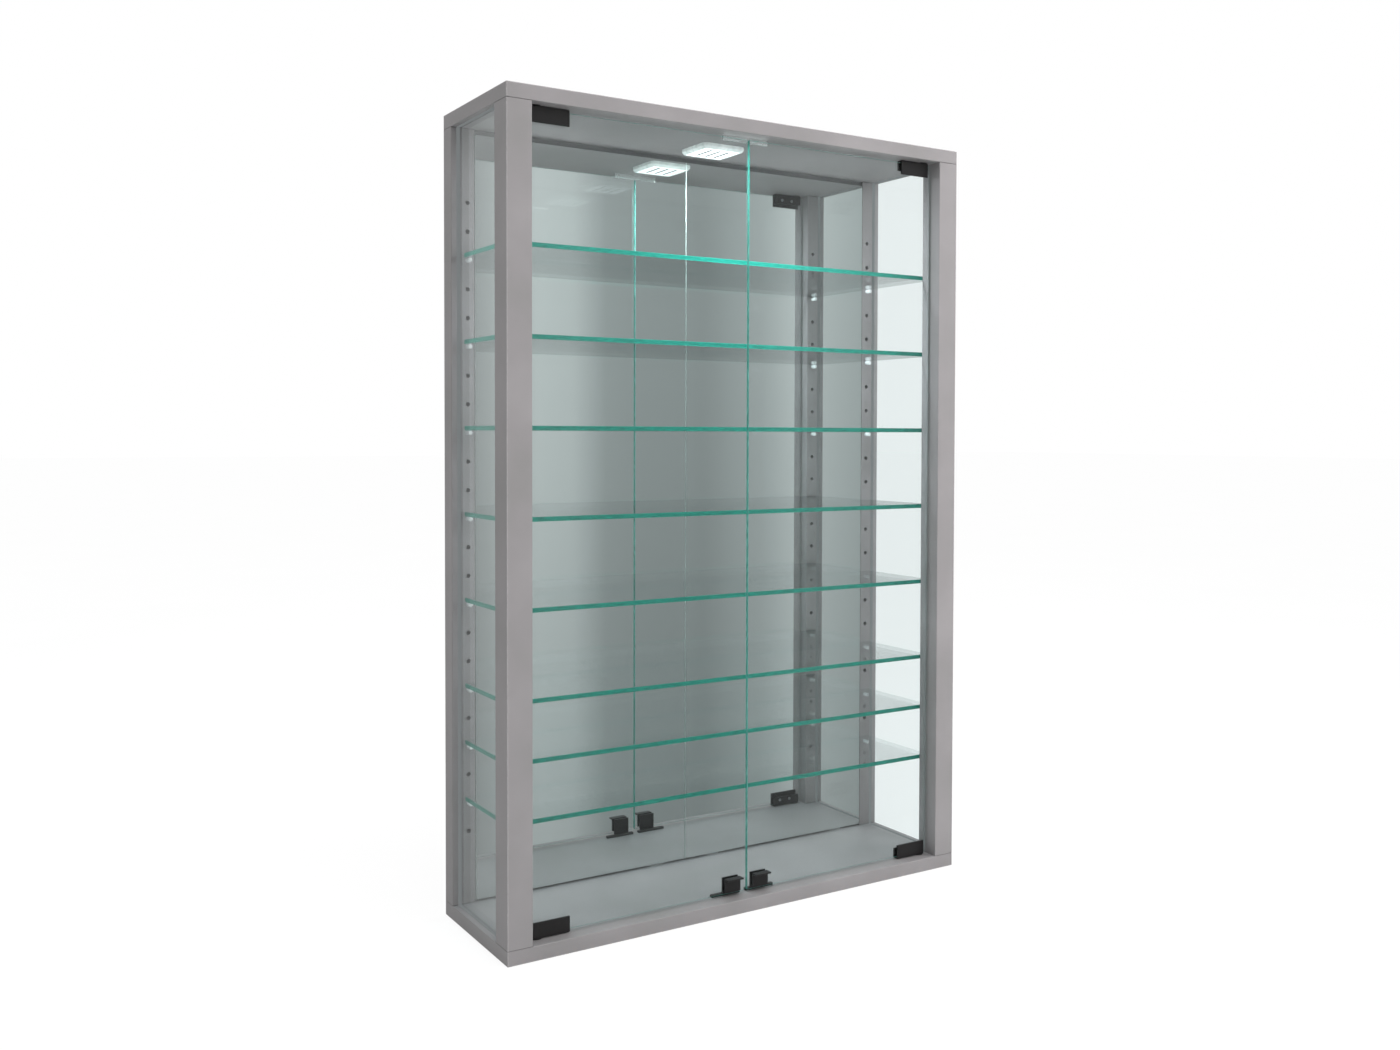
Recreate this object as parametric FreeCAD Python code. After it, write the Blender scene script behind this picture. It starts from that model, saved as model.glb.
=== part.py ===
import FreeCAD, Part
import os

# Glass display showcase: a foil-faced frame with glass sides, a mirror back,
# eight glass shelves on pins and two frameless glass doors on pivot clamps.
# Millimetres. Origin: centre of the footprint on the underside, +Z up, front at -Y.

Vector = FreeCAD.Vector

# Overall size of the cabinet.
width = 600.0
depth = 180.0
height = 900.0

# Frame: two boards with four posts between them.
board = 16.0
front_post_wide = 28.0
front_post_deep = 32.0
rear_post_wide = 27.0
rear_post_deep = 23.0
edge_round = 0.8

# Joints between board and post.
screw_shank_r = 2.5
screw_head_r = 3.8
screw_head_long = 3.6
screw_in_post = 34.0
cap_thick = 1.2
dowel_r = 3.0
dowel_in_board = 10.0
dowel_in_post = 20.0
front_screw_from_front = 9.0
front_dowel_from_front = 20.0
front_dowel_from_inside = 10.0
rear_joint_from_back = 7.0
rear_screw_from_outside = 7.0
rear_dowel_from_inside = 7.5
fit_play = 0.05
end_play = 0.5

# Side panes, let into grooves in posts and boards.
side_pane = 4.0
side_pane_recess = 6.5
pane_groove = 6.0
board_groove = 5.0
groove_play = 0.2

# Back: two mirrors taped to a thin board that sits in grooves.
mirror = 3.0
tape = 1.0
back_board = 3.0
back_groove = 4.5
mirror_joint = 0.8
mirror_side_gap = 0.8
mirror_top_gap = 5.7
mirror_foot = 2.0
tape_wide = 20.0
tape_margin = 30.0
mirror_foot_wide = 20.0

# Rows of holes for the shelf pins.
pin_r = 2.5
hole_pitch = 32.0
hole_count = 23
hole_depth = 10.0
hole_from_outside = 19.0
pin_reach = 8.0
pin_nose = 0.7
shelf_holes = (2, 5, 8, 11, 14, 17, 19, 21)

# Shelves.
shelf = 5.0
shelf_side_inset = 14.5
shelf_end_gap = 1.0
seat_gap = 0.3
arris = 0.5

# Doors.
door_pane = 4.0
door_plane = 19.0
door_middle_gap = 3.0
door_side_gap = 2.5

# Pivot clamps that carry the doors.
clamp_long = 41.5
clamp_end = 7.0
clamp_leg = 2.0
clamp_web = 2.0
clamp_front_high = 17.0
clamp_rear_high = 12.0
clamp_lift = 1.0
liner = 0.5
pivot_from_post = 12.0
pivot_r = 2.5
running_play = 0.05
bush_r = 4.0
bush_deep = 10.0
bush_flange_r = 5.5
bush_flange = 0.7
pivot_in_bush = 8.5
grub_r = 2.0
grub_proud = 0.6
grub_inset = 10.0
grub_spacing = 16.0
grub_below_edge = 4.0
socket_r = 1.0
socket_deep = 1.4

# Handles and catches at the doors' lower meeting corners.
handle_wide = 20.7
handle_high = 16.5
handle_from_edge = 7.1
handle_above_edge = 1.5
handle_plate = 1.7
handle_lip = 7.0
handle_lip_thick = 1.8
glue_pad = 0.3
strike = 1.5
strike_drop = 3.8
catch_long = 38.0
catch_deep = 5.0
catch_inset = 4.0
catch_bedded = 2.5
catch_proud = 2.6
catch_gap = 0.5
stop_long = 60.0
stop_deep = 4.0
stop_high = 6.0
stop_gap = 0.4

# Lamp under the top board, and its lead's way out.
lamp_side = 57.0
lamp_high = 6.0
lamp_slope = 2.5
lamp_corner = 7.0
lamp_wall = 1.2
lamp_floor = 1.2
lamp_window = 47.0
diffuser_lip = 1.2
diffuser_lip_thick = 0.6
slit_long = 34.0
slit_wide = 1.5
slit_pitch = 12.0
lamp_base = 1.0
led_board = 1.2
led_board_side = 44.0
led_side = 3.0
led_high = 0.6
led_columns = 4
led_row = 12.0
lead_hole_r = 4.0
lead_room = 1.0
grommet_wall = 2.0
grommet_flange_r = 9.0
grommet_flange = 1.5
lamp_screw_r = 1.5
lamp_screw_long = 11.0
lamp_screw_apart = 36.0
lamp_screw_head_r = 2.6
lamp_screw_head = 1.0

# Keyhole plates for hanging the cabinet on a wall.
hanger_wide = 18.0
hanger_high = 40.0
hanger_thick = 1.5
hanger_below_top = 56.0
keyhole_r = 4.5
keyhole_slot_r = 2.3
keyhole_drop = 8.0
keyhole_pocket = 5.0
keyhole_room = 1.0
hanger_screw_r = 1.5
hanger_screw_head_r = 2.9
hanger_screw_long = 12.0
hanger_screw_from_middle = 16.0

# Places worked out from the sizes above.
half = width / 2
front = -depth / 2
back = depth / 2
floor = board
ceiling = height - board
front_post_x = half - front_post_wide
rear_post_x = half - rear_post_wide
front_post_y = front + front_post_deep
rear_post_y = back - rear_post_deep
pane_outer = half - side_pane_recess
pane_inner = pane_outer - side_pane
pin_x = half - hole_from_outside
top_hole = (floor + ceiling + (hole_count - 1) * hole_pitch) / 2
mirror_back = rear_post_y + mirror
board_front = mirror_back + tape
board_back = board_front + back_board
door_y = front + door_plane
door_front = door_y - door_pane / 2
door_back = door_y + door_pane / 2
door_outer = front_post_x - door_side_gap
door_inner = door_middle_gap / 2
door_low = floor + clamp_lift + clamp_web + liner
door_high = ceiling - clamp_lift - clamp_web - liner
pivot_x = front_post_x - pivot_from_post
clamp_outer = front_post_x - clamp_end
clamp_inner = clamp_outer - clamp_long
clamp_half = door_pane / 2 + liner + clamp_leg
cavity_half = door_pane / 2 + liner
handle_inner = door_inner + handle_from_edge
handle_outer = handle_inner + handle_wide
handle_low = door_low + handle_above_edge
lamp_y = (front_post_y + rear_post_y) / 2
post_middle_x = half - rear_post_wide / 2
hanger_z = height - hanger_below_top - hanger_high / 2
tiny = 1e-6

os.makedirs("parts", exist_ok=True)


def box(x0, x1, y0, y1, z0, z1):
    """A block between two values on each axis."""
    return Part.makeBox(x1 - x0, y1 - y0, z1 - z0, Vector(x0, y0, z0))


def rod(radius, x, y, z, length, direction=(0, 0, 1)):
    """A round bar that starts at a point and runs along a direction."""
    return Part.makeCylinder(radius, length, Vector(x, y, z), Vector(*direction))


def edges_along(shape, axis):
    """The straight edges of a block that run along one axis: 0 X, 1 Y, 2 Z."""
    found = []
    for edge in shape.Edges:
        step = edge.Vertexes[-1].Point - edge.Vertexes[0].Point
        across = [abs(step[i]) for i in range(3) if i != axis]
        if abs(step[axis]) > tiny and max(across) < tiny:
            found.append(edge)
    return found


def flip_x(shape):
    """The left-hand twin of a right-hand piece."""
    return shape.mirror(Vector(0, 0, 0), Vector(1, 0, 0))


def flip_z(shape):
    """The upper twin of a lower piece."""
    return shape.mirror(Vector(0, 0, height / 2), Vector(0, 0, 1))


def save(name, *solids):
    """Writes one node: a single solid, or a group of separate ones."""
    shape = solids[0] if len(solids) == 1 else Part.makeCompound(list(solids))
    shape.exportStep("parts/" + name + ".step")


def both_sides(name, solids):
    """Writes a right-hand node and its left-hand twin."""
    save(name + "_right", *solids)
    save(name + "_left", *[flip_x(solid) for solid in solids])


def post_joints():
    """Screw and dowel places of the right-hand posts: (screw x, y, dowel x, y)."""
    front_middle = half - front_post_wide / 2
    rear_y = back - rear_joint_from_back
    return (
        (front_middle, front + front_screw_from_front,
         front_post_x + front_dowel_from_inside, front + front_dowel_from_front),
        (half - rear_screw_from_outside, rear_y,
         rear_post_x + rear_dowel_from_inside, rear_y),
    )


def pane_grooves():
    """The space cut for the right-hand side pane in posts and boards."""
    return box(pane_inner - groove_play, pane_outer + groove_play,
               front_post_y - pane_groove, rear_post_y + pane_groove,
               floor - board_groove, ceiling + board_groove)


def back_grooves():
    """The space cut for the back board in the rear posts and the boards."""
    return box(-rear_post_x - back_groove, rear_post_x + back_groove,
               board_front, board_back + groove_play,
               floor - board_groove, ceiling + board_groove)


def lower_board_cuts():
    """Everything cut out of a lower board; the upper board's are the same, flipped."""
    cuts = [pane_grooves(), flip_x(pane_grooves()), back_grooves()]
    head_bore = screw_head_r + fit_play
    head_depth = cap_thick + screw_head_long
    for screw_x, screw_y, dowel_x, dowel_y in post_joints():
        right = [
            rod(head_bore, screw_x, screw_y, 0, head_depth),
            rod(screw_shank_r + fit_play, screw_x, screw_y, 0, board),
            rod(dowel_r + fit_play, dowel_x, dowel_y, floor - dowel_in_board - end_play,
                dowel_in_board + end_play),
        ]
        cuts += right + [flip_x(cut) for cut in right]
    bush = rod(bush_r + fit_play, pivot_x, door_y, floor - bush_deep - end_play,
               bush_deep + end_play)
    return cuts + [bush, flip_x(bush)]


def make_boards():
    """Top and bottom boards with all their bores and grooves."""
    blank = box(-half, half, front, back, 0, board)
    blank = blank.makeFillet(edge_round, blank.Edges)
    shared = blank.cut(lower_board_cuts())
    save("bottom_board", shared.cut(catch_beds()))
    lead_way = rod(lead_hole_r + grommet_wall + fit_play, 0, lamp_y, ceiling, board)
    flange_seat = rod(grommet_flange_r + fit_play, 0, lamp_y, height - grommet_flange,
                      grommet_flange)
    save("top_board", flip_z(shared).cut([lead_way, flange_seat] + lamp_screw_holes()))


def pin_rows(x, y, direction):
    """One row of shelf-pin holes drilled along Y into a post."""
    return [rod(pin_r + fit_play, x, y, top_hole - k * hole_pitch, hole_depth, (0, direction, 0))
            for k in range(hole_count)]


def joint_holes(screw_x, screw_y, dowel_x, dowel_y):
    """Screw and dowel holes in both ends of a post."""
    screw_deep = screw_in_post + end_play
    dowel_deep = dowel_in_post + end_play
    low = [rod(screw_shank_r + fit_play, screw_x, screw_y, floor, screw_deep),
           rod(dowel_r + fit_play, dowel_x, dowel_y, floor, dowel_deep)]
    return low + [flip_z(hole) for hole in low]


def make_posts():
    """Front and rear posts, right and left."""
    front_joint, rear_joint = post_joints()
    blank = box(front_post_x, half, front, front_post_y, floor, ceiling)
    blank = blank.makeFillet(edge_round, edges_along(blank, 2))
    cuts = [pane_grooves()] + pin_rows(pin_x, front_post_y, -1) + joint_holes(*front_joint)
    both_sides("front_post", [blank.cut(cuts)])

    blank = box(rear_post_x, half, rear_post_y, back, floor, ceiling)
    blank = blank.makeFillet(edge_round, edges_along(blank, 2))
    cuts = [pane_grooves(), back_grooves()] + pin_rows(pin_x, rear_post_y, 1)
    cuts += joint_holes(*rear_joint) + hanger_cuts()
    both_sides("rear_post", [blank.cut(cuts)])


def make_joint_fixings():
    """Frame screws, their flush caps, and dowels, four of each at either end."""
    screws, caps, dowels = [], [], []
    for screw_x, screw_y, dowel_x, dowel_y in post_joints():
        screw = rod(screw_head_r, screw_x, screw_y, cap_thick, screw_head_long).fuse(
            rod(screw_shank_r, screw_x, screw_y, cap_thick, floor - cap_thick + screw_in_post))
        cap = rod(screw_head_r, screw_x, screw_y, 0, cap_thick)
        dowel = rod(dowel_r, dowel_x, dowel_y, floor - dowel_in_board,
                    dowel_in_board + dowel_in_post)
        for group, solid in ((screws, screw), (caps, cap), (dowels, dowel)):
            lower = [solid, flip_x(solid)]
            group += lower + [flip_z(one) for one in lower]
    save("frame_screws", *screws)
    save("screw_caps", *caps)
    save("frame_dowels", *dowels)


def make_side_panes():
    """Side panes, standing in the grooves with a little play at their edges."""
    pane = box(pane_inner, pane_outer,
               front_post_y - pane_groove + end_play, rear_post_y + pane_groove - end_play,
               floor - board_groove + end_play, ceiling + board_groove - end_play)
    both_sides("side_pane", [pane])


def make_back():
    """Back board, the two mirrors on it, their tape and the feet under them."""
    reach = rear_post_x + back_groove - end_play
    save("back_board", box(-reach, reach, board_front, board_back,
                           floor - board_groove + end_play, ceiling + board_groove - end_play))
    low = floor + mirror_foot
    high = ceiling - mirror_top_gap
    inner = mirror_joint / 2
    outer = rear_post_x - mirror_side_gap
    both_sides("mirror", [box(inner, outer, rear_post_y, mirror_back, low, high)])
    strips = []
    for x in (inner + tape_margin, outer - tape_margin - tape_wide):
        strip = box(x, x + tape_wide, mirror_back, board_front,
                    low + tape_margin, high - tape_margin)
        strips += [strip, flip_x(strip)]
    save("mirror_tape", *strips)
    feet = []
    for x in (inner + tape_margin, outer - tape_margin - mirror_foot_wide):
        foot = box(x, x + mirror_foot_wide, rear_post_y, mirror_back, floor, low)
        feet += [foot, flip_x(foot)]
    save("mirror_feet", *feet)


def shelf_pin(x, face, direction, z):
    """A peg in a post's hole, with a chamfered nose."""
    inside = hole_depth - end_play
    pin = rod(pin_r, x, face - direction * inside, z, inside + pin_reach, (0, direction, 0))
    nose = [edge for edge in pin.Edges
            if abs(edge.BoundBox.YMin - (face + direction * pin_reach)) < tiny
            and edge.BoundBox.YLength < tiny]
    return pin.makeChamfer(pin_nose, nose)


def make_shelves():
    """Eight loose shelves and the four pins under each."""
    pins = []
    reach = half - shelf_side_inset
    for number, hole in enumerate(shelf_holes, start=1):
        z = top_hole - hole * hole_pitch
        pins += [shelf_pin(pin_x, front_post_y, 1, z), shelf_pin(pin_x, rear_post_y, -1, z)]
        low = z + pin_r + seat_gap
        pane = box(-reach, reach, front_post_y + shelf_end_gap, rear_post_y - shelf_end_gap,
                   low, low + shelf)
        save("shelf_" + str(number), pane.makeChamfer(arris, pane.Edges))
    both_sides("shelf_pins", pins)


def clamp_body():
    """Channel that grips the lower edge of the right-hand door, front leg the longer."""
    base = floor + clamp_lift
    low = door_low - liner
    web = box(clamp_inner, clamp_outer, door_y - clamp_half, door_y + clamp_half, base, low)
    front_leg = box(clamp_inner, clamp_outer, door_y - clamp_half, door_y - cavity_half,
                    base, base + clamp_front_high)
    rear_leg = box(clamp_inner, clamp_outer, door_y + cavity_half, door_y + clamp_half,
                   base, base + clamp_rear_high)
    channel = web.fuse([front_leg, rear_leg]).removeSplitter()
    outside = [edge for edge in edges_along(channel, 0)
               if abs(abs(edge.CenterOfMass.y - door_y) - clamp_half) < tiny]
    channel = channel.makeChamfer(arris, outside)
    pin_bore = rod(pivot_r + fit_play, pivot_x, door_y, base, clamp_web)
    return channel.cut([pin_bore] + grub_screws(fit_play, 0))


def grub_screws(play, proud):
    """Two set screws through the clamp's rear leg, bearing on the liner."""
    z = floor + clamp_lift + clamp_rear_high - grub_below_edge
    length = clamp_leg + proud
    return [rod(grub_r + play, clamp_inner + grub_inset + i * grub_spacing,
                door_y + cavity_half, z, length, (0, 1, 0)) for i in range(2)]


def clamp_liner():
    """Rubber channel between the glass and the clamp."""
    front_top = floor + clamp_lift + clamp_front_high - arris
    rear_top = floor + clamp_lift + clamp_rear_high - arris
    low = door_low - liner
    under = box(clamp_inner, clamp_outer, door_y - cavity_half, door_y + cavity_half,
                low, door_low)
    front_leaf = box(clamp_inner, clamp_outer, door_y - cavity_half, door_front, low, front_top)
    rear_leaf = box(clamp_inner, clamp_outer, door_back, door_y + cavity_half, low, rear_top)
    return under.fuse([front_leaf, rear_leaf]).removeSplitter()


def handle():
    """Finger pull: a plate on the glass with a lip that stands forward at its top."""
    plate_back = door_front - glue_pad
    plate_front = plate_back - handle_plate
    top = handle_low + handle_high
    plate = box(handle_inner, handle_outer, plate_front, plate_back, handle_low, top)
    lip = box(handle_inner, handle_outer, plate_front - handle_lip, plate_front,
              top - handle_lip_thick, top)
    pull = plate.fuse(lip).removeSplitter()
    return pull.makeFillet(arris, edges_along(pull, 0))


def make_doors():
    """Both doors: pane, clamps, liners, pivots, set screws, handle and strike."""
    pane = box(door_inner, door_outer, door_front, door_back, door_low, door_high)
    both_sides("door_pane", [pane.makeChamfer(arris, pane.Edges)])

    body = clamp_body()
    lining = clamp_liner()
    pivot = rod(pivot_r, pivot_x, door_y, floor - pivot_in_bush,
                pivot_in_bush + clamp_lift + clamp_web)
    sockets = [rod(socket_r, screw.BoundBox.Center.x, door_y + clamp_half + grub_proud,
                   screw.BoundBox.Center.z, socket_deep, (0, -1, 0))
               for screw in grub_screws(0, 0)]
    grubs = [screw.cut(socket) for screw, socket in zip(grub_screws(0, grub_proud), sockets)]
    both_sides("hinge_clamp_bottom", [body])
    both_sides("hinge_clamp_top", [flip_z(body)])
    both_sides("clamp_liners", [lining, flip_z(lining)])
    both_sides("hinge_pivots", [pivot, flip_z(pivot)])
    both_sides("clamp_screws", grubs + [flip_z(grub) for grub in grubs])

    both_sides("handle", [handle()])
    top = handle_low + handle_high
    pads = [box(handle_inner, handle_outer, door_front - glue_pad, door_front, handle_low, top),
            box(handle_inner, handle_outer, door_back, door_back + glue_pad, handle_low, top)]
    both_sides("handle_pads", pads)
    strike_front = door_back + glue_pad
    both_sides("strike_plate", [box(handle_inner, handle_outer, strike_front,
                                    strike_front + strike, handle_low - strike_drop, top)])


def hinge_bush():
    """Flanged bush in the lower board for the right-hand door's pivot."""
    sleeve = rod(bush_r, pivot_x, door_y, floor - bush_deep, bush_deep)
    flange = rod(bush_flange_r, pivot_x, door_y, floor, bush_flange)
    bore = rod(pivot_r + running_play, pivot_x, door_y, floor - bush_deep + arris,
               bush_deep + bush_flange)
    return sleeve.fuse(flange).removeSplitter().cut(bore)


def catch_block(play):
    """Magnet strip bedded in the bottom board, just behind the right-hand strike plate."""
    y = door_back + glue_pad + strike + catch_gap
    return box(catch_inset - play, catch_inset + catch_long + play, y - play,
               y + catch_deep + play, floor - catch_bedded - play, floor + catch_proud)


def catch_beds():
    """Beds for both magnet strips."""
    bed = catch_block(fit_play)
    return [bed, flip_x(bed)]


def make_board_fittings():
    """Bushes, magnet catches and the clear stop behind the doors' upper corners."""
    bush = hinge_bush()
    both_sides("hinge_bush_bottom", [bush])
    both_sides("hinge_bush_top", [flip_z(bush)])
    magnet = catch_block(0)
    both_sides("magnet_catch", [magnet.makeChamfer(arris, edges_along(magnet, 2))])
    stop_front = door_back + stop_gap
    stop = box(-stop_long / 2, stop_long / 2, stop_front, stop_front + stop_deep,
               ceiling - stop_high, ceiling)
    save("door_stop", stop.makeFillet(arris, edges_along(stop, 2)))


def square_plate(side, low, high, corner=0.0):
    """A square plate on the lamp's centre, with rounded corners if wanted."""
    plate = box(-side / 2, side / 2, lamp_y - side / 2, lamp_y + side / 2, low, high)
    return plate.makeFillet(corner, edges_along(plate, 2)) if corner else plate


def lamp_screw_holes():
    """Pilot holes in the top board for the lamp's two screws."""
    return [rod(lamp_screw_r + fit_play, side * lamp_screw_apart / 2, lamp_y, ceiling,
                lamp_screw_long) for side in (-1, 1)]


def make_lamp():
    """Flat square lamp: cover, slotted diffuser, lit board on a base, and two screws."""
    low = ceiling - lamp_high
    cover = square_plate(lamp_side, low, ceiling, lamp_corner)
    rim = [edge for edge in cover.Edges if edge.BoundBox.ZMax < low + tiny]
    cover = cover.makeChamfer(lamp_slope, rim)
    hollow_side = lamp_side - 2 * (lamp_slope + lamp_wall)
    hollow = square_plate(hollow_side, low + lamp_floor, ceiling)
    save("lamp_cover", cover.cut([hollow, square_plate(lamp_window, low, ceiling)]))

    pane = square_plate(lamp_window - 2 * fit_play, low, low + lamp_floor)
    lip = square_plate(lamp_window + 2 * diffuser_lip, low + lamp_floor,
                       low + lamp_floor + diffuser_lip_thick)
    slits = [box(x - slit_wide / 2, x + slit_wide / 2, lamp_y - slit_long / 2,
                 lamp_y + slit_long / 2, low, ceiling)
             for x in (-slit_pitch, 0, slit_pitch)]
    save("lamp_diffuser", pane.fuse(lip).removeSplitter().cut(slits))

    ways = [rod(lead_hole_r + lead_room, 0, lamp_y, low, lamp_high)]
    ways += [rod(lamp_screw_r + fit_play, side * lamp_screw_apart / 2, lamp_y, low, lamp_high)
             for side in (-1, 1)]
    base_low = ceiling - lamp_base
    base = square_plate(hollow_side - 2 * fit_play, base_low, ceiling)
    save("lamp_base", base.cut(ways))
    board_low = base_low - led_board
    strip = square_plate(led_board_side, board_low, base_low)
    leds = [box(x - led_side / 2, x + led_side / 2, lamp_y + y - led_side / 2,
                lamp_y + y + led_side / 2, board_low - led_high, board_low)
            for x in [(i - (led_columns - 1) / 2) * slit_pitch for i in range(led_columns)]
            for y in (-led_row, led_row)]
    save("lamp_led_board", strip.fuse(leds).cut(ways))

    screws = []
    for side in (-1, 1):
        x = side * lamp_screw_apart / 2
        head = rod(lamp_screw_head_r, x, lamp_y, board_low - lamp_screw_head, lamp_screw_head)
        shank = rod(lamp_screw_r, x, lamp_y, board_low,
                    ceiling - board_low + lamp_screw_long - end_play)
        screws.append(head.fuse(shank))
    save("lamp_screws", *screws)

    tube = rod(lead_hole_r + grommet_wall, 0, lamp_y, ceiling, board)
    flange = rod(grommet_flange_r, 0, lamp_y, height - grommet_flange, grommet_flange)
    save("lead_grommet", tube.fuse(flange).removeSplitter().cut(
        rod(lead_hole_r, 0, lamp_y, ceiling, board)))


def hanger_screw(offset, play):
    """A countersunk screw through the right-hand hanger plate, or its hole."""
    z = hanger_z + offset
    head = Part.makeCone(hanger_screw_head_r + play, hanger_screw_r + play, hanger_thick,
                         Vector(post_middle_x, back, z), Vector(0, -1, 0))
    shank = rod(hanger_screw_r + play, post_middle_x, back, z, hanger_screw_long, (0, -1, 0))
    return head.fuse(shank)


def keyhole():
    """Entry hole for a wall screw's head, with a slot above it for the shank."""
    z = hanger_z - keyhole_drop / 2
    entry = rod(keyhole_r, post_middle_x, back, z, hanger_thick, (0, -1, 0))
    slot_end = rod(keyhole_slot_r, post_middle_x, back, z + keyhole_drop, hanger_thick,
                   (0, -1, 0))
    slot = box(post_middle_x - keyhole_slot_r, post_middle_x + keyhole_slot_r,
               back - hanger_thick, back, z, z + keyhole_drop)
    return entry.fuse([slot_end, slot])


def hanger_cuts():
    """Seat for the hanger plate, room behind its keyhole, and the screws' pilot holes."""
    side = hanger_wide / 2 + groove_play
    tall = hanger_high / 2 + groove_play
    seat = box(post_middle_x - side, post_middle_x + side, back - hanger_thick, back,
               hanger_z - tall, hanger_z + tall)
    room = keyhole_r + keyhole_room
    pocket = box(post_middle_x - room, post_middle_x + room,
                 back - hanger_thick - keyhole_pocket, back,
                 hanger_z - keyhole_drop / 2 - room, hanger_z + keyhole_drop / 2 + room)
    return [seat, pocket] + [hanger_screw(offset, fit_play)
                             for offset in (-hanger_screw_from_middle, hanger_screw_from_middle)]


def make_hangers():
    """Keyhole plates let into the backs of the rear posts, and their screws."""
    plate = box(post_middle_x - hanger_wide / 2, post_middle_x + hanger_wide / 2,
                back - hanger_thick, back, hanger_z - hanger_high / 2,
                hanger_z + hanger_high / 2)
    plate = plate.makeFillet(edge_round, edges_along(plate, 1))
    offsets = (-hanger_screw_from_middle, hanger_screw_from_middle)
    plate = plate.cut([keyhole()] + [hanger_screw(offset, fit_play) for offset in offsets])
    both_sides("hanger_plate", [plate])
    right = [hanger_screw(offset, 0) for offset in offsets]
    save("hanger_screws", *(right + [flip_x(screw) for screw in right]))


make_boards()
make_posts()
make_joint_fixings()
make_side_panes()
make_back()
make_shelves()
make_doors()
make_board_fittings()
make_lamp()
make_hangers()
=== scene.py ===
import math

import bpy
from mathutils import Matrix, Vector


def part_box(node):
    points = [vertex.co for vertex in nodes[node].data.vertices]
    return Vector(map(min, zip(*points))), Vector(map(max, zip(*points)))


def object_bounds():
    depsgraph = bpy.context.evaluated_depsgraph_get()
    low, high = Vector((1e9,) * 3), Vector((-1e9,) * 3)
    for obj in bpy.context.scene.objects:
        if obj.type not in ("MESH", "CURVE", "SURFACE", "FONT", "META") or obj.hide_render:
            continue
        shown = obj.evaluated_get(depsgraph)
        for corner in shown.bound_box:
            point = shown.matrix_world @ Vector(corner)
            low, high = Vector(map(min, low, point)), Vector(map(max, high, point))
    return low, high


# Glass display showcase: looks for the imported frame. Metres, +Z up, front at -Y.
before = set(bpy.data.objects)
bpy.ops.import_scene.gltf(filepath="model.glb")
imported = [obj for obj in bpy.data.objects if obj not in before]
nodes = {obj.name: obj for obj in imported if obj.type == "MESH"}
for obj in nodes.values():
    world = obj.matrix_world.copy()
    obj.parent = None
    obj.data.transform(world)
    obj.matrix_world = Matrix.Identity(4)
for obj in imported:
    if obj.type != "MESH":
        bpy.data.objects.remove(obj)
cadLow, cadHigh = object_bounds()
sides = ("left", "right")
mm = 0.001
print("frame loaded:", len(nodes), "nodes")


def linear(hexColour):
    channels = [int(hexColour[i:i + 2], 16) / 255 for i in (0, 2, 4)]
    return tuple(c / 12.92 if c <= 0.04045 else ((c + 0.055) / 1.055) ** 2.4
                 for c in channels) + (1.0,)


# Adds a node. Inputs go by socket name or number and take a value, or a socket to link from;
# stops are a ramp's places and tones; the rest are the node's own settings.
def add(tree, kind, inputs=None, stops=(), **settings):
    made = tree.nodes.new("ShaderNode" + kind)
    for name, value in settings.items():
        setattr(made, name, value)
    for socket, value in (inputs or {}).items():
        if isinstance(value, bpy.types.NodeSocket):
            tree.links.new(value, made.inputs[socket])
        else:
            made.inputs[socket].default_value = value
    for i, (place, tone) in enumerate(stops):
        ramp = made.color_ramp.elements
        stop = ramp[i] if i < 2 else ramp.new(place)
        stop.position = place
        stop.color = linear(tone)
    return made


# The middle of a noise's range, where nearly all its values lie, as a MapRange's From sockets.
noiseSpan = {1: 0.3, 2: 0.7}
# How far a face has to point along an axis to count as turned to it.
turnedTo = 0.9


# Tones spread over the noise's middle, as a ramp's stops.
def overNoise(*tones):
    low, high = noiseSpan.values()
    return [(low + (high - low) * i / (len(tones) - 1), tone) for i, tone in enumerate(tones)]


def newMaterial(name):
    material = bpy.data.materials.new(name)
    material.use_nodes = True
    tree = material.node_tree
    tree.nodes.clear()
    return material, tree


def finishMaterial(material, tree, shader):
    add(tree, "OutputMaterial", {"Surface": shader.outputs[0]})
    return material


def paint(material, *names):
    for name in names:
        mesh = nodes[name].data
        if not mesh.materials:
            mesh.materials.append(material)
        for slot in nodes[name].material_slots:
            slot.material = material


# Cloudy pattern in object space whose patches have a real size; returns its value socket.
def grain(tree, size, detail=2.0, stretch=(1, 1, 1)):
    coords = add(tree, "TexCoord")
    place = add(tree, "Mapping", {"Vector": coords.outputs["Object"], "Scale": stretch})
    noise = add(tree, "TexNoise", {"Vector": place.outputs[0], "Scale": 1 / size,
                                   "Detail": detail})
    return noise.outputs[0]


# Mask of the places that lie past a block's limits on at least so many axes.
def pastLimits(tree, low, high, axes):
    low, high = Vector(low), Vector(high)
    coords = add(tree, "TexCoord")
    offset = add(tree, "VectorMath", {0: coords.outputs["Object"], 1: (low + high) / 2},
                 operation="SUBTRACT")
    away = add(tree, "VectorMath", {0: offset.outputs[0]}, operation="ABSOLUTE")
    past = add(tree, "VectorMath", {0: away.outputs[0], 1: (high - low) / 2},
               operation="SUBTRACT")
    sign = add(tree, "VectorMath", {0: past.outputs[0]}, operation="SIGN")
    count = add(tree, "VectorMath", {0: sign.outputs[0], 1: (1, 1, 1)}, operation="DOT_PRODUCT")
    return add(tree, "Math", {0: count.outputs["Value"], 1: 2 * axes - 4},
               operation="GREATER_THAN").outputs[0]


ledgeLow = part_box("bottom_board")[1].z
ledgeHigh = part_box("top_board")[0].z
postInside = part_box("front_post_right")[0].x
farAway = 1.0

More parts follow.
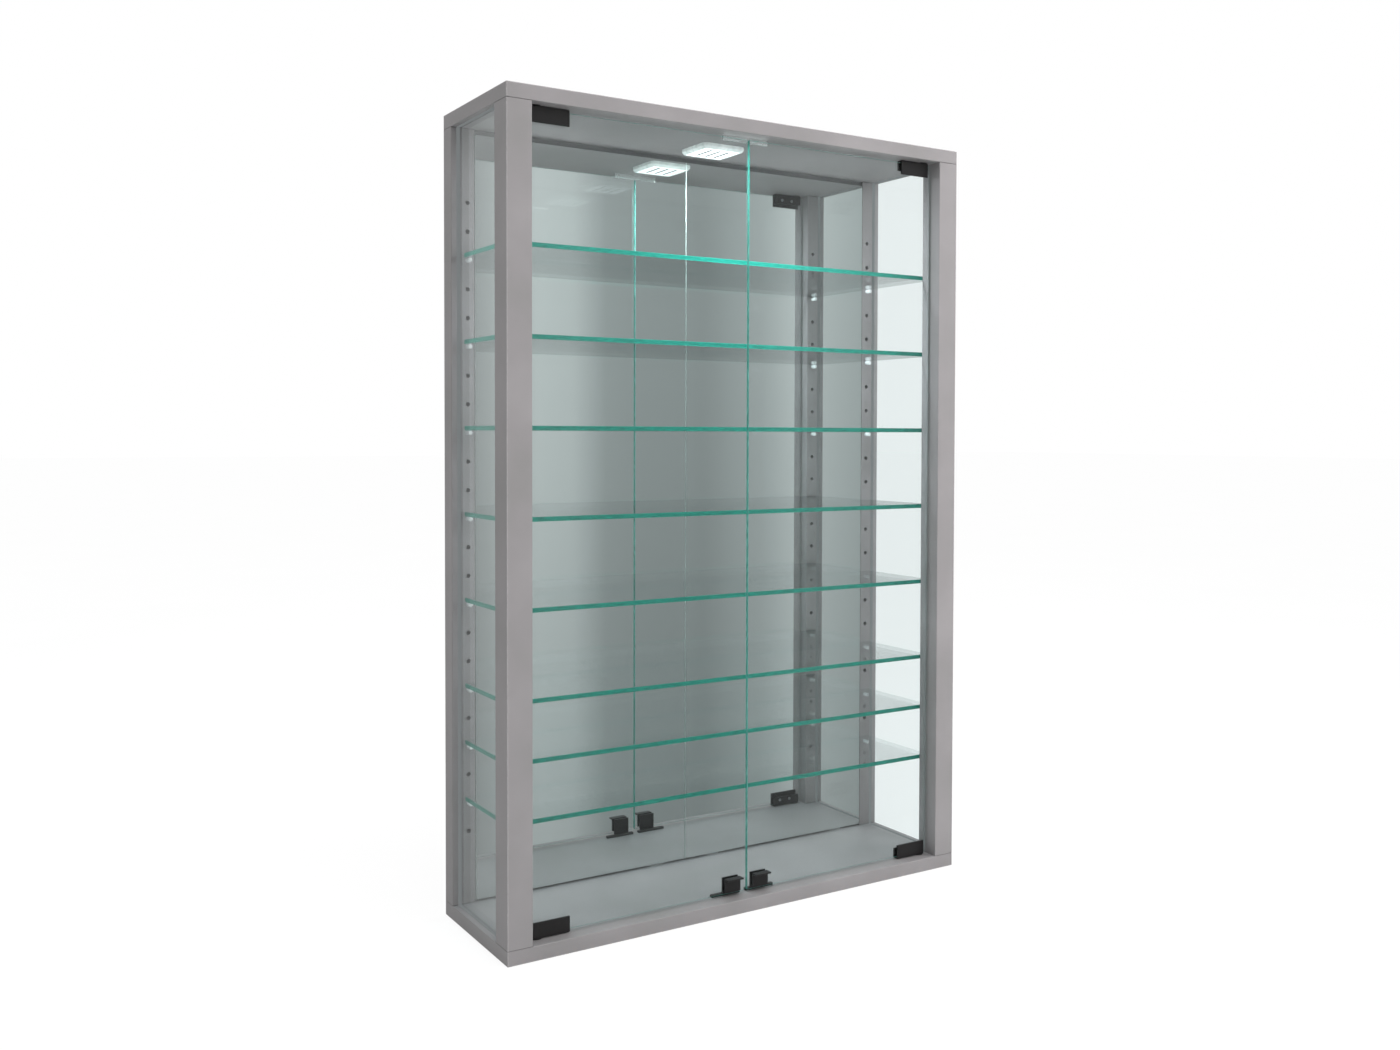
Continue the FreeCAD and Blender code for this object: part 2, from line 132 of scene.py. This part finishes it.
# Silver-grey melamine foil pressed onto chipboard: satin, with a fine pearl grain that breaks up
# highlights, a faint cloudiness over a hand's breadth, a painted highlight along the outer arrises
# broken up by the grain, and a dark hairline where a post meets a board. The grain is drawn
# coarser than real to show.
foil = dict(tones=("727070", "777475", "7C797A"), rubbed="989596", joint="181717",
            highlightInset=1.1 * mm, highlightFrom=(0.40, 0.62), highlightShare=(0.1, 0.8), jointWide=0.7 * mm,
            wallTilt=0.3, cloud=90 * mm, pearl=0.9 * mm, roughness=(0.40, 0.52),
            pearlDepth=0.012 * mm)


def melamineFoil():
    material, tree = newMaterial("melamineFoil")
    pearl = grain(tree, foil["pearl"])
    cloud = add(tree, "ValToRGB", {"Fac": grain(tree, foil["cloud"], 3.0)},
                overNoise(*foil["tones"]))

    # Painted highlight: along the outer arrises the foil is mixed towards a paler grey, patchy
    # with the grain.
    highlightInset = Vector((foil["highlightInset"],) * 3)
    arris = pastLimits(tree, cadLow + highlightInset, cadHigh - highlightInset, 2)
    highlightLow, highlightHigh = foil["highlightFrom"]
    faintestHighlight, strongestHighlight = foil["highlightShare"]
    highlightPatch = add(tree, "MapRange", {"Value": pearl, 1: highlightLow, 2: highlightHigh,
                                  3: faintestHighlight, 4: strongestHighlight})
    rubbed = add(tree, "Math", {0: arris, 1: highlightPatch.outputs[0]}, operation="MULTIPLY")
    plain = add(tree, "Mix", {0: rubbed.outputs[0], 6: cloud.outputs[0],
                              7: linear(foil["rubbed"])}, data_type="RGBA")

    coords = add(tree, "TexCoord")
    upright = add(tree, "SeparateXYZ", {0: coords.outputs["Normal"]})
    level = add(tree, "Math", {0: upright.outputs[2]}, operation="ABSOLUTE")
    onSide = add(tree, "Math", {0: level.outputs[0], 1: foil["wallTilt"]},
                 operation="LESS_THAN")
    line = foil["jointWide"] / 2
    outer = pastLimits(tree, (-farAway, -farAway, ledgeLow - line),
                       (farAway, farAway, ledgeHigh + line), 1)
    inner = pastLimits(tree, (-farAway, -farAway, ledgeLow + line),
                       (farAway, farAway, ledgeHigh - line), 1)
    seam = add(tree, "Math", {0: inner, 1: outer}, operation="SUBTRACT")
    atPost = pastLimits(tree, (-postInside, -farAway, -farAway),
                        (postInside, farAway, farAway), 1)
    seam = add(tree, "Math", {0: seam.outputs[0], 1: atPost}, operation="MULTIPLY")
    seam = add(tree, "Math", {0: seam.outputs[0], 1: onSide.outputs[0]}, operation="MULTIPLY")
    colour = add(tree, "Mix", {0: seam.outputs[0], 6: plain.outputs[2],
                               7: linear(foil["joint"])}, data_type="RGBA")

    smooth, rough = foil["roughness"]
    satin = add(tree, "MapRange", {"Value": pearl, **noiseSpan, 3: smooth, 4: rough})
    bump = add(tree, "Bump", {"Height": pearl, "Distance": foil["pearlDepth"],
                              "Strength": 1.0})
    shader = add(tree, "BsdfPrincipled", {
        "Base Color": colour.outputs[2], "Roughness": satin.outputs[0],
        "Normal": bump.outputs[0]})
    return finishMaterial(material, tree, shader)


# Float glass: nearly clear faces that mirror more at a slant, and teal ground edges that let light
# through from inside the pane; on the shelves the edges near the lamp are painted brighter and
# given a painted glow (emission) that fades away from the lamp.
glass = dict(faceTint="FCFEFE", shelfEdge=("0A4A40", "106456", "187D6B"),
             doorEdge=("2C5F58", "4C8A82", "86B5AF"),
             paintedLitTones=("0E6E60", "178677", "22A090"), glowTones=("0C6256", "137C6E"),
             headOn=0.04, slantPower=5.0, rearTurn=0.5, grind=7 * mm, grindStretch=12.0,
             wave=180 * mm, waveDepth=0.02 * mm, edgeRoughness=0.28, edgeGlow=0.30, bed="7C8081",
             lampNear=0.14, lampFar=0.36, paintedGlowPeak=0.30)


def floatGlass(name, axis, edgeTones, paintLampGlow=False, clearEdge=None, bedded=None):
    material, tree = newMaterial(name)
    coords = add(tree, "TexCoord")
    across = add(tree, "SeparateXYZ", {0: coords.outputs["Normal"]})
    turned = add(tree, "Math", {0: across.outputs[axis]}, operation="ABSOLUTE")
    onEdge = add(tree, "Math", {0: turned.outputs[0], 1: turnedTo},
                 operation="LESS_THAN").outputs[0]

    wave = add(tree, "Bump", {"Height": grain(tree, glass["wave"], 0.0),
                              "Distance": glass["waveDepth"], "Strength": 1.0})
    facing = add(tree, "LayerWeight", {"Blend": 0.5})
    slant = add(tree, "Math", {0: facing.outputs["Facing"], 1: glass["slantPower"]},
                operation="POWER")
    mirrored = add(tree, "MapRange", {"Value": slant.outputs[0], 3: glass["headOn"], 4: 1.0})
    clear = add(tree, "BsdfTransparent", {"Color": linear(glass["faceTint"])})
    sheen = add(tree, "BsdfGlossy", {"Roughness": 0.0, "Normal": wave.outputs[0]})
    face = add(tree, "MixShader", {0: mirrored.outputs[0], 1: clear.outputs[0],
                                   2: sheen.outputs[0]})

    along = [glass["grindStretch"]] * 3
    along[0 if axis == 2 else 2] = 1.0
    grindLines = grain(tree, glass["grind"], 4.0, along)
    deep = add(tree, "ValToRGB", {"Fac": grindLines}, overNoise(*edgeTones))
    groundLook = {"Base Color": deep.outputs[0], "Roughness": glass["edgeRoughness"]}
    # Painted light: near the lamp the edges are mixed to brighter tones and given a painted glow
    # (emission) that fades with distance from the lamp.
    if paintLampGlow:
        bright = add(tree, "ValToRGB", {"Fac": grindLines}, overNoise(*glass["paintedLitTones"]))
        lampLow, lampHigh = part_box("lamp_diffuser")
        toLamp = add(tree, "VectorMath", {0: coords.outputs["Object"],
                                          1: (lampLow + lampHigh) / 2}, operation="DISTANCE")
        near = add(tree, "MapRange", {"Value": toLamp.outputs["Value"], 1: glass["lampNear"],
                                      2: glass["lampFar"], 3: 1.0, 4: 0.0})
        tone = add(tree, "Mix", {0: near.outputs[0], 6: deep.outputs[0],
                                 7: bright.outputs[0]}, data_type="RGBA").outputs[2]
        paintedGlow = add(tree, "Math", {0: near.outputs[0], 1: glass["paintedGlowPeak"]},
                       operation="MULTIPLY")
        groundLook.update({"Base Color": tone, "Emission Color": tone,
                           "Emission Strength": paintedGlow.outputs[0]})
    ground = add(tree, "BsdfPrincipled", groundLook)
    through = add(tree, "ValToRGB", {"Fac": grindLines}, overNoise(*glass["glowTones"]))
    glow = add(tree, "BsdfTranslucent", {"Color": through.outputs[0]})
    edge = add(tree, "MixShader", {0: glass["edgeGlow"], 1: ground.outputs[0],
                                   2: glow.outputs[0]})
    # Seen from inside the pane an edge is clear, and so is one that faces the mirrors.
    inside = add(tree, "NewGeometry").outputs["Backfacing"]
    if clearEdge is not None:
        behind = add(tree, "Math", {0: across.outputs[clearEdge], 1: glass["rearTurn"]},
                     operation="GREATER_THAN")
        inside = add(tree, "Math", {0: inside, 1: behind.outputs[0]},
                     operation="MAXIMUM").outputs[0]
    openEdge = add(tree, "MixShader", {0: inside, 1: edge.outputs[0], 2: clear.outputs[0]})
    shader = add(tree, "MixShader", {0: onEdge, 1: face.outputs[0], 2: openEdge.outputs[0]})
    if bedded is not None:
        # Painted light: where the pane sits in its grooves it is painted as a self-lit grey
        # (emission), standing in for the lit groove walls seen through the glass.
        bed = add(tree, "Emission", {"Color": linear(glass["bed"]), "Strength": 1.0})
        shader = add(tree, "MixShader", {0: pastLimits(tree, *bedded, 1),
                                         1: shader.outputs[0], 2: bed.outputs[0]})
    return finishMaterial(material, tree, shader)


# Silvered float glass: a clean mirror with a breath of green; its cut edges are pale
# ground glass.
mirrorGlass = dict(silver="E0E4E3", edge="D5E2DF", roughness=0.015, wave=220 * mm,
                   waveDepth=0.02 * mm, edgeRoughness=0.4)


def silveredGlass():
    material, tree = newMaterial("silveredGlass")
    coords = add(tree, "TexCoord")
    across = add(tree, "SeparateXYZ", {0: coords.outputs["Normal"]})
    front = add(tree, "Math", {0: across.outputs[1], 1: -turnedTo}, operation="LESS_THAN")
    wave = add(tree, "Bump", {"Height": grain(tree, mirrorGlass["wave"], 0.0),
                              "Distance": mirrorGlass["waveDepth"], "Strength": 1.0})
    silver = add(tree, "BsdfPrincipled", {
        "Base Color": linear(mirrorGlass["silver"]), "Metallic": 1.0,
        "Roughness": mirrorGlass["roughness"], "Normal": wave.outputs[0]})
    cutEdge = add(tree, "BsdfPrincipled", {
        "Base Color": linear(mirrorGlass["edge"]), "Roughness": mirrorGlass["edgeRoughness"]})
    shader = add(tree, "MixShader", {0: front.outputs[0], 1: cutEdge.outputs[0],
                                     2: silver.outputs[0]})
    return finishMaterial(material, tree, shader)


# Plain moulded, pressed, plated or coated finishes: tones over a grain, roughness range,
# and a relief of the grain. The note above each says what it gives the eye.
finishes = {
    # Hardboard, painted grey: dull, with the press's fine pebble.
    "paintedHardboard": dict(tones=("5E6060", "696B6B"), size=2.5 * mm, roughness=(0.65, 0.8),
                             depth=0.03 * mm),
    # Foam mounting tape: off-white, with open cells.
    "foamTape": dict(tones=("C9C8C2", "DAD9D4"), size=0.8 * mm, roughness=(0.8, 0.95),
                     depth=0.05 * mm),
    # Zinc-plated steel: pale grey, with a patchy crystal bloom.
    "zincPlatedSteel": dict(tones=("A9ABAE", "C2C4C6"), size=3 * mm, roughness=(0.28, 0.42),
                            depth=0.004 * mm, metallic=1.0),
    # Zinc casting, powder coated black: satin with a slight orange peel.
    "blackPowderCoat": dict(tones=("100F0F", "1C191A"), size=1.1 * mm, roughness=(0.34, 0.46),
                            depth=0.02 * mm),
    # Nitrile rubber: dull black.
    "nitrileRubber": dict(tones=("131313", "1C1C1C"), size=0.6 * mm, roughness=(0.75, 0.9),
                          depth=0.01 * mm),
    # Bonded ferrite magnet strip: dark brown-grey, pressed, slightly pitted.
    "bondedFerrite": dict(tones=("242323", "322F2E"), size=0.8 * mm, roughness=(0.5, 0.7),
                          depth=0.03 * mm),
    # Polypropylene caps, moulded to the frame's grey: waxy.
    "mouldedPolypropylene": dict(tones=("777676", "807F7F"), size=1.2 * mm,
                                 roughness=(0.38, 0.5), depth=0.01 * mm),
    # Acetal bushes: black, smooth and waxy.
    "mouldedAcetal": dict(tones=("1D1D1E", "262627"), size=1.2 * mm, roughness=(0.3, 0.4),
                          depth=0.008 * mm),
}


def plainFinish(name):
    look = finishes[name]
    smooth, rough = look["roughness"]
    material, tree = newMaterial(name)
    value = grain(tree, look["size"], 3.0)
    colour = add(tree, "ValToRGB", {"Fac": value}, overNoise(*look["tones"]))
    satin = add(tree, "MapRange", {"Value": value, **noiseSpan, 3: smooth, 4: rough})
    bump = add(tree, "Bump", {"Height": value, "Distance": look["depth"], "Strength": 1.0})
    shader = add(tree, "BsdfPrincipled", {
        "Base Color": colour.outputs[0], "Roughness": satin.outputs[0],
        "Metallic": look.get("metallic", 0.0), "Normal": bump.outputs[0]})
    return finishMaterial(material, tree, shader)


# Beech dowels, turned with flutes: straight grain along the dowel with short dark rays.
beech = dict(tones=("B98F63", "C9A377", "D3B188"), ray=1.5 * mm, along=0.12,
             roughness=(0.55, 0.7))


def turnedBeech():
    material, tree = newMaterial("turnedBeech")
    smooth, rough = beech["roughness"]
    value = grain(tree, beech["ray"], 4.0, (1, 1, beech["along"]))
    colour = add(tree, "ValToRGB", {"Fac": value}, overNoise(*beech["tones"]))
    dull = add(tree, "MapRange", {"Value": value, **noiseSpan, 3: smooth, 4: rough})
    shader = add(tree, "BsdfPrincipled", {
        "Base Color": colour.outputs[0], "Roughness": dull.outputs[0]})
    return finishMaterial(material, tree, shader)


# Moulded acrylic: bends what is behind it; the small pins are made a little milky, partly their
# own whitish plastic and partly a painted stand-in for their white glints.
acrylic = dict(colour="FAFCFC", ior=1.49, clear=0.88, milky=0.55, bloom=2 * mm,
               roughness=(0.02, 0.08))


def mouldedAcrylic(name, clearness):
    material, tree = newMaterial(name)
    smooth, rough = acrylic["roughness"]
    bloom = add(tree, "MapRange", {"Value": grain(tree, acrylic["bloom"]), **noiseSpan,
                                   3: smooth, 4: rough})
    body = add(tree, "BsdfPrincipled", {
        "Base Color": linear(acrylic["colour"]), "IOR": acrylic["ior"],
        "Transmission Weight": clearness, "Roughness": bloom.outputs[0]})
    clear = add(tree, "BsdfTransparent", {"Color": linear(acrylic["colour"])})
    path = add(tree, "LightPath")
    lit = add(tree, "Math", {0: path.outputs["Is Shadow Ray"], 1: path.outputs["Is Diffuse Ray"]},
              operation="MAXIMUM")
    shader = add(tree, "MixShader", {0: lit.outputs[0], 1: body.outputs[0], 2: clear.outputs[0]})
    return finishMaterial(material, tree, shader)


# Opal polycarbonate lamp cover: milky, lit from within near its window.
lampCover = dict(tones=("C4CBCA", "D5DAD9"), cloud=6 * mm, roughness=(0.25, 0.35),
                 glowColour="EAF2F1", near=22 * mm, far=30 * mm, glow=0.40, rim=0.03)


def opalPolycarbonate():
    material, tree = newMaterial("opalPolycarbonate")
    smooth, rough = lampCover["roughness"]
    value = grain(tree, lampCover["cloud"])
    colour = add(tree, "ValToRGB", {"Fac": value}, overNoise(*lampCover["tones"]))
    satin = add(tree, "MapRange", {"Value": value, **noiseSpan, 3: smooth, 4: rough})
    low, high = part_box("lamp_cover")
    coords = add(tree, "TexCoord")
    offset = add(tree, "VectorMath", {0: coords.outputs["Object"], 1: (low + high) / 2},
                 operation="SUBTRACT")
    flat = add(tree, "VectorMath", {0: offset.outputs[0], 1: (1, 1, 0)}, operation="MULTIPLY")
    away = add(tree, "VectorMath", {0: flat.outputs[0]}, operation="LENGTH")
    glow = add(tree, "MapRange", {"Value": away.outputs["Value"], 1: lampCover["near"],
                                  2: lampCover["far"], 3: lampCover["glow"],
                                  4: lampCover["rim"]})
    shader = add(tree, "BsdfPrincipled", {
        "Base Color": colour.outputs[0], "Roughness": satin.outputs[0],
        "Emission Color": linear(lampCover["glowColour"]),
        "Emission Strength": glow.outputs[0]})
    return finishMaterial(material, tree, shader)


# Moulded acrylic diffuser: an even, cool-white glow, dark along its three slits.
diffuser = dict(colour="F4F8F8", light="F3FAFF", strength=(0.80, 0.95), ripple=5 * mm,
                roughness=0.35, slitPitch=12 * mm, slitHalf=1.5 * mm, slitReach=17.5 * mm,
                slit="2E3433")


def litDiffuser():
    material, tree = newMaterial("litDiffuser")
    dim, bright = diffuser["strength"]
    glow = add(tree, "MapRange", {"Value": grain(tree, diffuser["ripple"]), **noiseSpan,
                                  3: dim, 4: bright})
    low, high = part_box("lamp_diffuser")
    centre, reach = (low + high) / 2, Vector((diffuser["slitReach"],) * 3)
    coords = add(tree, "TexCoord")
    place = add(tree, "SeparateXYZ", {0: coords.outputs["Object"]})
    fromSlit = add(tree, "Math", {0: place.outputs[0], 1: diffuser["slitPitch"] / 2},
                   operation="PINGPONG")
    close = add(tree, "Math", {0: fromSlit.outputs[0], 1: diffuser["slitHalf"]},
                operation="LESS_THAN")
    inReach = add(tree, "Math", {0: 1.0, 1: pastLimits(tree, centre - reach, centre + reach, 1)},
                  operation="SUBTRACT")
    slit = add(tree, "Math", {0: close.outputs[0], 1: inReach.outputs[0]},
               operation="MULTIPLY")
    glow = add(tree, "Mix", {0: slit.outputs[0], 2: glow.outputs[0], 3: 0.0})
    colour = add(tree, "Mix", {0: slit.outputs[0], 6: linear(diffuser["colour"]),
                               7: linear(diffuser["slit"])}, data_type="RGBA")
    shader = add(tree, "BsdfPrincipled", {
        "Base Color": colour.outputs[2], "Roughness": diffuser["roughness"],
        "Emission Color": linear(diffuser["light"]), "Emission Strength": glow.outputs[0]})
    return finishMaterial(material, tree, shader)


# Lamp circuit board: dark grey solder mask; the diodes' faces below it are pale yellow.
circuit = dict(mask=("2E3231", "383C3B"), phosphor="E8D77A", diodeHigh=0.6 * mm,
               blotch=3 * mm, roughness=0.45)


def solderMask():
    material, tree = newMaterial("solderMask")
    low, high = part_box("lamp_led_board")
    coords = add(tree, "TexCoord")
    place = add(tree, "SeparateXYZ", {0: coords.outputs["Object"]})
    onDiode = add(tree, "Math", {0: place.outputs[2], 1: low.z + circuit["diodeHigh"] / 2},
                  operation="LESS_THAN")
    mask = add(tree, "ValToRGB", {"Fac": grain(tree, circuit["blotch"])},
               overNoise(*circuit["mask"]))
    colour = add(tree, "Mix", {0: onDiode.outputs[0], 6: mask.outputs[0],
                               7: linear(circuit["phosphor"])}, data_type="RGBA")
    shader = add(tree, "BsdfPrincipled", {"Base Color": colour.outputs[2],
                                          "Roughness": circuit["roughness"]})
    return finishMaterial(material, tree, shader)


def eachSide(*names):
    return [name + "_" + side for name in names for side in sides]


shelves = [name for name in nodes if name.startswith("shelf_") and name[6:].isdigit()]
paint(melamineFoil(), "top_board", "bottom_board", *eachSide("front_post", "rear_post"))
paneRoom = ((-farAway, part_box("front_post_right")[1].y, ledgeLow),
            (farAway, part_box("rear_post_right")[0].y, ledgeHigh))
paint(floatGlass("floatGlassSide", 0, glass["shelfEdge"], bedded=paneRoom), *eachSide("side_pane"))
paint(floatGlass("floatGlassDoor", 1, glass["doorEdge"]), *eachSide("door_pane"))
paint(floatGlass("floatGlassShelf", 2, glass["shelfEdge"], paintLampGlow=True, clearEdge=1), *shelves)
paint(silveredGlass(), *eachSide("mirror"))
paint(mouldedAcrylic("clearAcrylic", acrylic["clear"]), "door_stop", "mirror_feet")
paint(mouldedAcrylic("milkyAcrylic", acrylic["milky"]), *eachSide("shelf_pins"))
paint(turnedBeech(), "frame_dowels")
paint(opalPolycarbonate(), "lamp_cover", "lamp_base")
paint(litDiffuser(), "lamp_diffuser")
paint(solderMask(), "lamp_led_board")
plainNodes = {
    "paintedHardboard": ["back_board"],
    "foamTape": ["mirror_tape"],
    "zincPlatedSteel": ["frame_screws", "lamp_screws", "hanger_screws"]
                       + eachSide("hinge_pivots", "clamp_screws", "hanger_plate"),
    "blackPowderCoat": eachSide("hinge_clamp_bottom", "hinge_clamp_top", "handle",
                                "strike_plate"),
    "nitrileRubber": eachSide("clamp_liners", "handle_pads"),
    "bondedFerrite": eachSide("magnet_catch"),
    "mouldedPolypropylene": ["screw_caps", "lead_grommet"],
    "mouldedAcetal": eachSide("hinge_bush_bottom", "hinge_bush_top"),
}
for finish, names in plainNodes.items():
    paint(plainFinish(finish), *names)
print("materials on all nodes")


# Pale studio floor, a white vinyl sweep: lit brightly enough to meet the backdrop without
# a line, with a soft shadow where the cabinet stands.
floorLook = dict(size=60.0, colour=("EDEDED", "F2F2F2"), patch=0.35, roughness=0.8,
                 sweep=0.90, shade=0.10)


def makeFloor():
    mesh = bpy.data.meshes.new("studioFloor")
    reach = floorLook["size"] / 2
    corners = [(-reach, -reach, 0), (reach, -reach, 0), (reach, reach, 0), (-reach, reach, 0)]
    mesh.from_pydata(corners, [], [(0, 1, 2, 3)])
    floor = bpy.data.objects.new("studioFloor", mesh)
    bpy.context.scene.collection.objects.link(floor)
    material, tree = newMaterial("mattVinyl")
    colour = add(tree, "ValToRGB", {"Fac": grain(tree, floorLook["patch"])},
                 overNoise(*floorLook["colour"]))
    matt = add(tree, "BsdfPrincipled", {"Base Color": colour.outputs[0],
                                        "Roughness": floorLook["roughness"]})
    white = add(tree, "Emission", {"Strength": floorLook["sweep"]})
    dark = add(tree, "BsdfTransparent", {"Color": (0, 0, 0, 1)})
    shaded = add(tree, "MixShader", {0: floorLook["shade"], 1: dark.outputs[0],
                                     2: matt.outputs[0]})
    sweep = add(tree, "AddShader", {0: shaded.outputs[0], 1: white.outputs[0]})
    path = add(tree, "LightPath")
    shader = add(tree, "MixShader", {0: path.outputs["Is Camera Ray"], 1: matt.outputs[0],
                                     2: sweep.outputs[0]})
    mesh.materials.append(finishMaterial(material, tree, shader))
    floor.visible_glossy = False


makeFloor()

# Studio air: white behind everything, with soft upright bands in front for the mirrors and
# panes to show, dimmer towards the floor.
studio = dict(backdrop=1.0, ambientLeft=0.36, ambientRight=0.22, overhead=1.20,
              low=-0.35, high=0.15, lowShare=0.62,
              bands=((0.00, "B4B6B6"), (0.285, "A4A8A8"), (0.309, "A6A9A9"), (0.3145, "E2E4E4"),
                     (0.3195, "D9DCDC"), (0.3255, "ABAFAF"), (0.336, "A6AAAA"),
                     (0.343, "C0C4C4"), (0.3485, "E0E3E3"), (0.354, "BCC0C0"),
                     (0.372, "CBCFCF"), (0.50, "C9CCCC"), (0.75, "E6E8E8"),
                     (1.00, "B4B6B6")))


def makeStudio():
    world = bpy.data.worlds.new("studio")
    bpy.context.scene.world = world
    world.use_nodes = True
    tree = world.node_tree
    tree.nodes.clear()
    coords = add(tree, "TexCoord")
    across = add(tree, "SeparateXYZ", {0: coords.outputs["Generated"]})
    ambient = add(tree, "MapRange", {"Value": across.outputs[0], 1: -1.0, 2: 1.0,
                                     3: studio["ambientLeft"], 4: studio["ambientRight"]})
    above = add(tree, "Math", {0: across.outputs[2], 1: 0.0}, operation="MAXIMUM")
    ambient = add(tree, "Math", {0: above.outputs[0], 1: studio["overhead"],
                                 2: ambient.outputs[0]}, operation="MULTIPLY_ADD")
    turn = add(tree, "TexGradient", {"Vector": coords.outputs["Generated"]},
               gradient_type="RADIAL")
    ramp = add(tree, "ValToRGB", {"Fac": turn.outputs[1]}, studio["bands"])
    ramp.color_ramp.interpolation = "EASE"
    rise = add(tree, "MapRange", {"Value": across.outputs[2], 1: studio["low"],
                                  2: studio["high"], 3: studio["lowShare"], 4: 1.0})
    shown = add(tree, "VectorMath", {0: ramp.outputs[0], "Scale": rise.outputs[0]},
                operation="SCALE")
    path = add(tree, "LightPath")
    lit = add(tree, "Mix", {0: path.outputs["Is Glossy Ray"], 6: ambient.outputs[0],
                            7: shown.outputs[0]}, data_type="RGBA")
    colour = add(tree, "Mix", {0: path.outputs["Is Camera Ray"], 6: lit.outputs[2],
                               7: (studio["backdrop"],) * 3 + (1,)}, data_type="RGBA")
    back = add(tree, "Background", {"Color": colour.outputs[2], "Strength": 1.0})
    add(tree, "OutputWorld", {"Surface": back.outputs[0]})


makeStudio()

middle = (cadLow + cadHigh) / 2
lights = {
    "keySoftbox": dict(place=(1.55, -0.95, 1.05), size=0.9, watts=20.0, colour="FFFDFC"),
    "frontSoftbox": dict(place=(0.5, -2.4, 0.9), size=1.0, watts=20.0, colour="FFFFFF"),
    "topSoftbox": dict(place=(0.1, -0.6, 2.3), size=1.6, watts=28.0, colour="FFFFFF"),
}


def makeLights():
    for name, light in lights.items():
        data = bpy.data.lights.new(name, "AREA")
        data.size = light["size"]
        data.energy = light["watts"]
        data.color = linear(light["colour"])[:3]
        lamp = bpy.data.objects.new(name, data)
        lamp.location = light["place"]
        lamp.rotation_euler = (middle - Vector(light["place"])).to_track_quat("-Z", "Y").to_euler()
        lamp.visible_camera = False
        lamp.visible_glossy = False
        bpy.context.scene.collection.objects.link(lamp)


makeLights()

# Soft light that the lamp sends down, and that the mirrors send back into the cabinet.
insideLights = {
    "lampLight": dict(wide=44 * mm, high=44 * mm, watts=4.5, node="lamp_diffuser",
                      toward=(0, 0, -1), off=0.6 * mm, colour="F3FAFF"),
    "mirrorBounce": dict(wide=540 * mm, high=850 * mm, watts=3.4, node="back_board",
                         toward=(0, -1, 0), off=5 * mm, colour="F4FBFA"),
}


def makeInsideLights():
    for name, light in insideLights.items():
        low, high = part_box(light["node"])
        toward = Vector(light["toward"])
        depth = abs((high - low).dot(toward)) / 2
        data = bpy.data.lights.new(name, "AREA")
        data.shape = "RECTANGLE"
        data.size = light["wide"]
        data.size_y = light["high"]
        data.energy = light["watts"]
        data.color = linear(light["colour"])[:3]
        lamp = bpy.data.objects.new(name, data)
        lamp.location = (low + high) / 2 + toward * (depth + light["off"])
        lamp.rotation_euler = toward.to_track_quat("-Z", "Z" if toward.y else "Y").to_euler()
        lamp.visible_camera = False
        lamp.visible_glossy = False
        bpy.context.scene.collection.objects.link(lamp)


makeInsideLights()
print("floor and lights in place")

view = dict(place=(-0.8209, -1.3468, 0.5455), turn=33.16, tilt=-1.50, roll=0.19, lens=34.02,
            sensor=36.0, shiftX=-0.0396, shiftY=-0.0400)


def makeCamera():
    data = bpy.data.cameras.new("camera")
    data.lens = view["lens"]
    data.sensor_width = view["sensor"]
    data.shift_x = view["shiftX"]
    data.shift_y = view["shiftY"]
    camera = bpy.data.objects.new("camera", data)
    aim = (Matrix.Rotation(math.radians(-view["turn"]), 4, "Z")
           @ Matrix.Rotation(math.radians(90 + view["tilt"]), 4, "X")
           @ Matrix.Rotation(math.radians(view["roll"]), 4, "Z"))
    camera.matrix_world = Matrix.Translation(view["place"]) @ aim
    bpy.context.scene.collection.objects.link(camera)
    bpy.context.scene.camera = camera


makeCamera()
bpy.context.scene.view_settings.view_transform = "Standard"
# Light passes many panes on its way through the shelves and back from the mirrors.
cycles = bpy.context.scene.cycles
cycles.transparent_max_bounces = 48
cycles.max_bounces = 16
print("camera in place")
